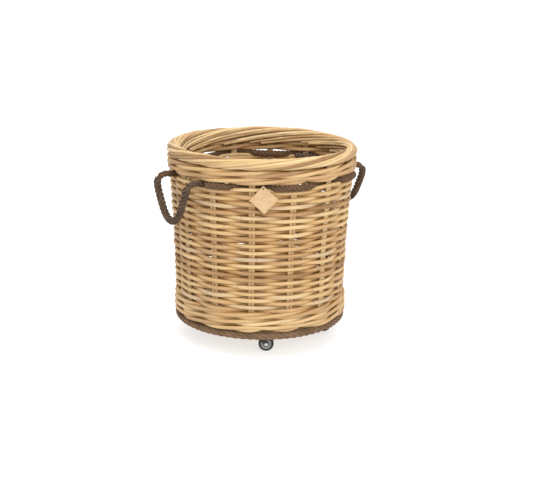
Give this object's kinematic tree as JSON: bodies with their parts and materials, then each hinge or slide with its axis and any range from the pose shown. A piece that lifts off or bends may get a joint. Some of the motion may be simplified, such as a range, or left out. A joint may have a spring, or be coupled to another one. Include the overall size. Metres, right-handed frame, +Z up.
{
  "type": "wicker log basket",
  "caption": "Round woven rattan basket with an open top, rope handles, a rope band under the rolled rim, a rope foot and swivel casters beneath.",
  "frame": {"origin": "on the floor under the middle of the basket, on the basket's upright axis", "axes": "+Z up along the basket's axis; -Y is the front, where the tag hangs; +X is to the right seen from the front"},
  "size_m": [0.5602, 0.503, 0.524],
  "materials": {
    "wicker": "natural unpeeled rattan rods, matt with a slight sheen",
    "stake_cane": "natural round cane, matt",
    "rope": "dark brown twisted seagrass rope",
    "foot_rope": "brown twisted rope, worn",
    "plywood": "plain plywood",
    "tag_card": "plain kraft card",
    "twine": "thin jute twine",
    "zinc": "bright zinc plate",
    "black_steel": "black coated pressed steel",
    "grey_plastic": "moulded grey plastic",
    "caster_tyre": "black rubber"
  },
  "bodies": {
    "basket": {"base_board": "plywood", "foot_rope": "foot_rope", "lower_waling": "wicker", "siding": "wicker", "packing_rows_left": "wicker", "packing_rows_right": "wicker", "upper_waling": "wicker", "rim_border": "wicker", "stake_01": "stake_cane", "stake_02": "stake_cane", "stake_03": "stake_cane", "stake_04": "stake_cane", "stake_05": "stake_cane", "stake_06": "stake_cane", "stake_07": "stake_cane", "stake_08": "stake_cane", "stake_09": "stake_cane", "stake_10": "stake_cane", "stake_11": "stake_cane", "stake_12": "stake_cane", "stake_13": "stake_cane", "stake_14": "stake_cane", "band_rope_front": "rope", "band_rope_back": "rope", "rope_tail_left": "rope", "rope_tail_right": "rope", "tag_string": "twine", "caster_front_plate": "zinc", "caster_front_screw_1": "zinc", "caster_front_screw_2": "zinc", "caster_right_plate": "zinc", "caster_right_screw_1": "zinc", "caster_right_screw_2": "zinc", "caster_back_plate": "zinc", "caster_back_screw_1": "zinc", "caster_back_screw_2": "zinc", "caster_left_plate": "zinc", "caster_left_screw_1": "zinc", "caster_left_screw_2": "zinc"},
    "handle_left": {"handle_rope_left": "rope"},
    "handle_right": {"handle_rope_right": "rope"},
    "tag": {"tag": "tag_card"},
    "swivel_front": {"caster_front_fork": "black_steel", "caster_front_axle": "zinc"},
    "wheel_front": {"caster_front_hub": "grey_plastic", "caster_front_tyre": "caster_tyre"},
    "swivel_right": {"caster_right_fork": "black_steel", "caster_right_axle": "zinc"},
    "wheel_right": {"caster_right_hub": "grey_plastic", "caster_right_tyre": "caster_tyre"},
    "swivel_back": {"caster_back_fork": "black_steel", "caster_back_axle": "zinc"},
    "wheel_back": {"caster_back_hub": "grey_plastic", "caster_back_tyre": "caster_tyre"},
    "swivel_left": {"caster_left_fork": "black_steel", "caster_left_axle": "zinc"},
    "wheel_left": {"caster_left_hub": "grey_plastic", "caster_left_tyre": "caster_tyre"}
  },
  "joints": [
    {"name": "handle_left_swing", "type": "hinge", "parent": "basket", "child": "handle_left", "pos_m": [-0.22764, -0.1594, 0.4454], "axis": [-0.5736, 0.8191, 0], "range_deg": [-12, 150]},
    {"name": "handle_right_swing", "type": "hinge", "parent": "basket", "child": "handle_right", "pos_m": [0.23821, 0.14313, 0.4454], "axis": [0.515, -0.8572, 0], "range_deg": [-12, 150]},
    {"name": "tag_swing", "type": "hinge", "parent": "basket", "child": "tag", "pos_m": [0.00437, -0.25046, 0.4539], "axis": [-0.9998, -0.0174, 0], "range_deg": [-3, 34]},
    {"name": "caster_front_swivel", "type": "hinge", "parent": "basket", "child": "swivel_front", "pos_m": [0, -0.158, 0.05], "axis": [0, 0, 1], "continuous": true},
    {"name": "caster_front_roll", "type": "hinge", "parent": "swivel_front", "child": "wheel_front", "pos_m": [0.018, -0.158, 0.02], "axis": [0, 1, 0], "continuous": true},
    {"name": "caster_right_swivel", "type": "hinge", "parent": "basket", "child": "swivel_right", "pos_m": [0.158, 0, 0.05], "axis": [0, 0, 1], "continuous": true},
    {"name": "caster_right_roll", "type": "hinge", "parent": "swivel_right", "child": "wheel_right", "pos_m": [0.176, 0, 0.02], "axis": [0, 1, 0], "continuous": true},
    {"name": "caster_back_swivel", "type": "hinge", "parent": "basket", "child": "swivel_back", "pos_m": [0, 0.158, 0.05], "axis": [0, 0, 1], "continuous": true},
    {"name": "caster_back_roll", "type": "hinge", "parent": "swivel_back", "child": "wheel_back", "pos_m": [0.018, 0.158, 0.02], "axis": [0, 1, 0], "continuous": true},
    {"name": "caster_left_swivel", "type": "hinge", "parent": "basket", "child": "swivel_left", "pos_m": [-0.158, 0, 0.05], "axis": [0, 0, 1], "continuous": true},
    {"name": "caster_left_roll", "type": "hinge", "parent": "swivel_left", "child": "wheel_left", "pos_m": [-0.14, 0, 0.02], "axis": [0, 1, 0], "continuous": true}
  ]
}
